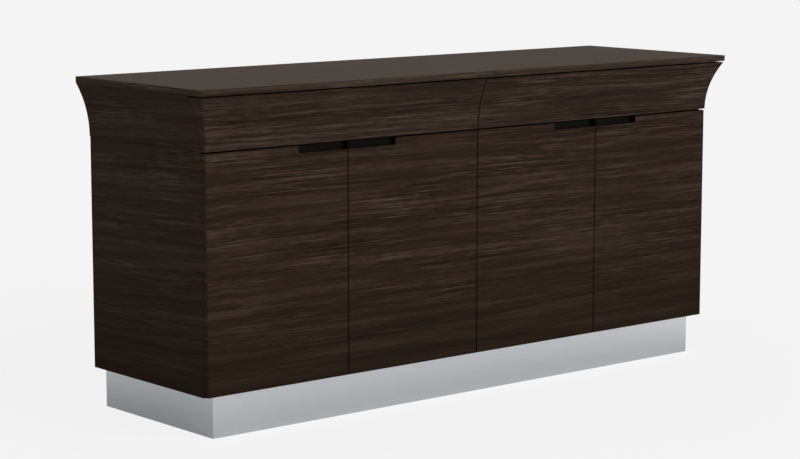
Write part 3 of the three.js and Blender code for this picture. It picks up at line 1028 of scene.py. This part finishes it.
@dataclass
class Door:
    """One door, numbered from the left, with its finger pull, hinges and small fittings."""

    shop: Workshop
    index: int
    ease: float = 0.0005
    pull_ease: float = 0.0004
    cup_ease: float = 0.0003
    arm_ease: float = 0.001
    cup_screw: Head = Head(0.0032, 0.0006, 0.0005)
    cup_reach: float = 0.0215
    plate_screw: Head = Head(0.0032, 0.0014, 0.0012)
    plate_reach: float = 0.016
    plate_thickness: float = 0.0025
    plate_setback: float = 0.0165
    arm_height: float = 0.011
    arm_setbacks: Span = (0.008, 0.021)
    bumper: Head = Head(0.004, 0.0007)
    bumper_inset: float = 0.03
    bumper_margin: float = 0.0075

    @property
    def body(self) -> str:
        """The body of the door, which also starts the names of its pieces."""
        return f"door_{self.index}"

    @property
    def hinges(self) -> tuple[str, str]:
        """What the names of the parts of each hinge start with."""
        return f"{self.body}_lower", f"{self.body}_upper"

    @property
    def inward(self) -> int:
        """Sign of x from the hinge wall into the compartment: doors hang on the left and right in turn."""
        return 1 if self.index % 2 else -1

    def fit(self, name: str, body: str, finish: Finish, node: str, ease: float) -> None:
        """Makes a fitting from its node's own shape, with its edges eased."""
        self.shop.make(Piece(name, body, finish, node, FRONT_FIGURE, ease=ease))

    def screws(self) -> None:
        """Sets screw heads on the wings of the cups, on the hinge plates and on the arms."""
        cups, plates = [], []
        for hinge in self.hinges:
            low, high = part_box(f"{hinge}_cup")
            middle = (low + high) / 2
            cups += [(middle.x, high.y, middle.z + side * self.cup_reach) for side in (-1, 1)]
            low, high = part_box(f"{hinge}_hinge_arm")
            wall = low.x if self.inward > 0 else high.x
            height = (low.z + high.z) / 2
            face, back = wall + self.inward * self.plate_thickness, high.y - self.plate_setback
            plates += [(face, back, height + side * self.plate_reach) for side in (-1, 1)]
            crown = wall + self.inward * self.arm_height
            plates += [(crown, high.y - setback, height) for setback in self.arm_setbacks]
        heads = self.cup_screw.surface(cups, REARWARD)
        self.shop.make(Piece(f"{self.body}_cup_screws", self.body, NICKEL), heads)
        heads = self.plate_screw.surface(plates, (self.inward, 0.0, 0.0))
        self.shop.make(Piece(f"{self.body}_plate_screws", CASE, NICKEL), heads)

    def bumpers(self) -> None:
        """Sets two soft stops on the back of the door, where it meets the bottom and the deck."""
        low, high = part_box(f"{self.body}_panel")
        x = (high.x if self.inward > 0 else low.x) - self.inward * self.bumper_inset
        places = [(x, high.y, z) for z in (low.z + self.bumper_margin, high.z - self.bumper_margin)]
        piece = Piece(f"{self.body}_bumpers", self.body, PULL_BLACK)
        self.shop.make(piece, self.bumper.surface(places, REARWARD))

    def build(self) -> None:
        """Makes the leaf, with painted shade on its upper edge and its roundings, and all that is fixed to
        it.
        """
        body = self.body
        ends = END_FIGURES[Hand.LEFT if self.index <= DOOR_COUNT // 2 else Hand.RIGHT]
        # The roundings take finish 1, the painted gap shade, as the upper edge does.
        leaf = Piece(f"{body}_leaf", body, VENEER, f"{body}_panel", FRONT_FIGURE, ends, self.ease, 1)
        self.shop.band(self.shop.make(leaf), GAP_SHADE_EDGE, Edge.UPPER)
        self.fit(f"{body}_finger_pull", body, PULL_BLACK, f"{body}_pull", self.pull_ease)
        for hinge in self.hinges:
            self.fit(f"{hinge}_hinge_cup", body, NICKEL, f"{hinge}_cup", self.cup_ease)
            self.fit(f"{hinge}_arm", CASE, NICKEL, f"{hinge}_hinge_arm", self.arm_ease)
        self.screws()
        self.bumpers()


@dataclass
class Drawer:
    """One drawer: a coved front with a finger groove below, a box and runners."""

    shop: Workshop
    cove: Cove
    hand: Hand
    ease: float = 0.0005
    runner_ease: float = 0.0003
    groove_half: float = 0.152
    groove_front: float = 0.004
    groove_back: float = 0.013
    groove_rise: float = 0.009
    lip_lift: float = 0.001

    @property
    def body(self) -> str:
        """The body of the drawer, which also starts the names of its nodes."""
        return f"{self.hand.label}_drawer"

    def front_surface(self) -> Surface:
        """A cove block whose lower face has a finger groove let into it.

        The lower ring is joined to the groove's mouth by four faces, each taking the ring's points from the
        middle of one corner to the middle of the next.

        Returns:
            The closed skin.
        """
        low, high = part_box(f"{self.body}_front")
        low.z += self.lip_lift
        rings = self.cove.rings_of(low, high, self.hand, self.ease, True)
        surface = skin(rings, lower_cap=False)
        middle = self.hand.value * self.cove.half / 2
        x0, x1 = middle - self.groove_half, middle + self.groove_half
        y0, y1 = self.cove.face + self.groove_front, self.cove.face + self.groove_back
        plan = np.array([(x1, y0), (x1, y1), (x0, y1), (x0, y0)])
        levels = [np.column_stack([plan, np.full(4, low.z + rise)]) for rise in (0.0, self.groove_rise)]
        start, around = len(surface.points), rings.shape[1]
        quarter = around // 4
        faces = surface.faces
        for corner in range(4):
            following = (corner + 1) % 4
            first = corner * quarter + quarter // 2
            arc = [(first + step) % around for step in range(quarter + 1)]
            faces.append((start + corner, start + following, *reversed(arc)))
            faces.append((start + corner, start + following, start + 4 + following, start + 4 + corner))
        faces.append(tuple(start + 4 + corner for corner in range(4)))
        return Surface(np.concatenate([surface.points, *levels]), faces)

    def build(self) -> None:
        """Makes the front, the walls with their runners, and the back and base."""
        body, node = self.body, f"{self.body}_front"
        front = Piece(f"{node}_cove", body, CROWN_SHEEN_VENEER, node, DRAWER_FIGURE, END_FIGURES[self.hand])
        self.shop.make(front, self.front_surface())
        for side in (f"{body}_inner", f"{body}_outer"):
            node, figure = f"{side}_wall", WALL_FIGURES[self.hand]
            self.shop.make(Piece(f"{node}_board", body, DRAWER_BOARD, node, figure, ease=self.ease))
            for node, carrier in ((f"{side}_case_runner", CASE), (f"{side}_drawer_runner", body)):
                runner = Piece(f"{node}_channel", carrier, ZINC, node, RUNNER_FIGURE, ease=self.runner_ease)
                self.shop.make(runner)
        for node in (f"{body}_back", f"{body}_base"):
            board = Piece(f"{node}_board", body, DRAWER_BOARD, node, BOX_FIGURES[self.hand])
            self.shop.make(board, board_of(node, self.ease))


@dataclass
class Studio:
    """Camera, floor, world and lamp."""

    eye: Triple = (-3.9471, -4.6104, 1.3043)
    yaw: float = 40.07
    pitch: float = 8.394
    lens: float = 102.88
    sensor: float = 36.0
    clip_end: float = 240.0
    floor_reach: float = 60.0
    floor_lines: int = 9
    backdrop: float = 0.895
    sky: float = 0.5
    sun: float = 1.46
    sun_from: Triple = (0.36, -0.86, 0.36)
    sun_spread: float = 40.0
    floor_albedo: float = 0.85
    floor_share: float = 0.85
    mirror_share: float = 0.1
    floor_glow: float = 0.965
    # Painted shade and light in the floor as mirrored: darker within contact_reach of the plinth, paler
    # towards +x.
    contact_reach: float = 0.5
    painted_contact_shade: float = 0.52
    tone_span: Span = (-0.9, 1.3)
    painted_light_ends: Span = (0.9, 1.14)

    def camera(self) -> None:
        """Sets the camera by its place, its turn from +Y towards +X and its tilt down."""
        data = bpy.data.cameras.new("studio_camera")
        data.lens = self.lens
        data.sensor_width = self.sensor
        data.clip_end = self.clip_end
        camera = added("studio_camera", data)
        camera.location = self.eye
        camera.rotation_euler = (math.pi / 2 - math.radians(self.pitch), 0.0, -math.radians(self.yaw))
        bpy.context.scene.camera = camera

    @staticmethod
    def rays(shading: Shading) -> tuple[Socket, Socket]:
        """Whether a ray comes from the camera, and whether by a mirror or through glass: one or zero each."""
        path = shading.node("ShaderNodeLightPath", {}).outputs
        return path["Is Camera Ray"], shading.math("MAXIMUM", *(path[name] for name in MIRROR_RAYS))

    def painted_mirror_shading(self, shading: Shading) -> Socket:
        """Painted shade and light in the floor that the metal mirrors: darker close to the plinth and paler
        to the right.

        Closeness goes by the distance to the plinth's rectangle, zero inside it.

        Args:
            shading: The floor's tree.

        Returns:
            The factor of the floor's own colour.
        """
        low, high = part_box("plinth_front")
        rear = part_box("plinth_rear")[1].y
        middle = (low.y + rear) / 2
        place = shading.parts(shading.place())
        aside = shading.math("SUBTRACT", shading.math("ABSOLUTE", place["X"]), high.x)
        depth = shading.math("ABSOLUTE", shading.math("SUBTRACT", place["Y"], middle))
        ahead = shading.math("SUBTRACT", depth, rear - middle)
        squares = [shading.math("POWER", shading.math("MAXIMUM", gap, 0.0), 2.0) for gap in (aside, ahead)]
        distance = shading.math("SQRT", shading.total(*squares))
        near = shading.spread(distance, (self.painted_contact_shade, 1.0), (0.0, self.contact_reach))
        return shading.product(near, shading.spread(place["X"], self.painted_light_ends, self.tone_span))

    def floor_finish(self) -> Material:
        """A pale floor: mostly its own even brightness to the eye, the rest lit and shaded, with painted
        shade and light where the metal mirrors it.

        Returns:
            The material.
        """
        material = bpy.data.materials.new("pale_floor")
        material.use_nodes = True
        nodes = material.node_tree.nodes
        nodes.remove(nodes["Principled BSDF"])
        shading = Shading(material.node_tree)
        direct, mirrored = self.rays(shading)
        # Painted shade and light, for mirrored rays only.
        change = shading.product(mirrored, shading.math("SUBTRACT", self.painted_mirror_shading(shading), 1.0))
        albedo = shading.product(shading.total(change, 1.0), self.floor_albedo)
        matt = shading.node("ShaderNodeBsdfDiffuse", {"Color": albedo})
        glow = shading.node("ShaderNodeEmission", {"Color": (self.floor_glow,) * 3 + (1.0,)})
        shares = shading.product(direct, self.floor_share), shading.product(mirrored, self.mirror_share)
        share = shading.math("MAXIMUM", *shares)
        mix = shading.node("ShaderNodeMixShader", {0: share, 1: matt.outputs[0], 2: glow.outputs[0]})
        shading.feed(nodes["Material Output"], {"Surface": mix.outputs[0]})
        return material

    def floor(self) -> None:
        """Lays the floor: a flat square grid of quads about the origin."""
        count = self.floor_lines
        lines = np.linspace(-self.floor_reach, self.floor_reach, count)
        points = np.stack(np.meshgrid(lines, lines, 0.0, indexing="ij"), -1).reshape(-1, 3)
        first = np.arange(count**2).reshape(count, count)[:-1, :-1].reshape(-1, 1)
        quads = first + [0, count, count + 1, 1]
        mesh = bpy.data.meshes.new("studio_floor")
        mesh.from_pydata(points.tolist(), [], quads.tolist())
        mesh.materials.append(self.floor_finish())
        floor = added("studio_floor", mesh)

    def light(self) -> None:
        """Even light from the world, and one broad soft lamp from the front."""
        world = bpy.data.worlds.new("studio_world")
        bpy.context.scene.world = world
        world.use_nodes = True
        shading = Shading(world.node_tree)
        seen = shading.math("MAXIMUM", *self.rays(shading))
        level = shading.spread(seen, (self.sky, self.backdrop))
        shading.feed(world.node_tree.nodes["Background"], {"Color": (1.0,) * 4, "Strength": level})
        data = bpy.data.lights.new("studio_lamp", "SUN")
        data.energy = self.sun
        data.angle = math.radians(self.sun_spread)
        lamp = added("studio_lamp", data)
        lamp.rotation_euler = Vector(self.sun_from).to_track_quat("Z", "Y").to_euler()

    def build(self) -> None:
        """Sets up the whole studio."""
        self.camera()
        self.floor()
        self.light()
        bpy.context.scene.view_settings.view_transform = "Standard"


def main() -> None:
    """Builds the studio and every sub-assembly."""
    logging.basicConfig(level=logging.INFO, format="%(name)s: %(message)s")
    Studio().build()
    shop = Workshop()
    cove = Cove()
    Plinth(shop).build()
    Case(shop, cove).build()
    for index in range(1, DOOR_COUNT + 1):
        Door(shop, index).build()
    for hand in Hand:
        Drawer(shop, cove, hand).build()
    log.info("%d pieces", shop.count)


if __name__ == "__main__":
    main()
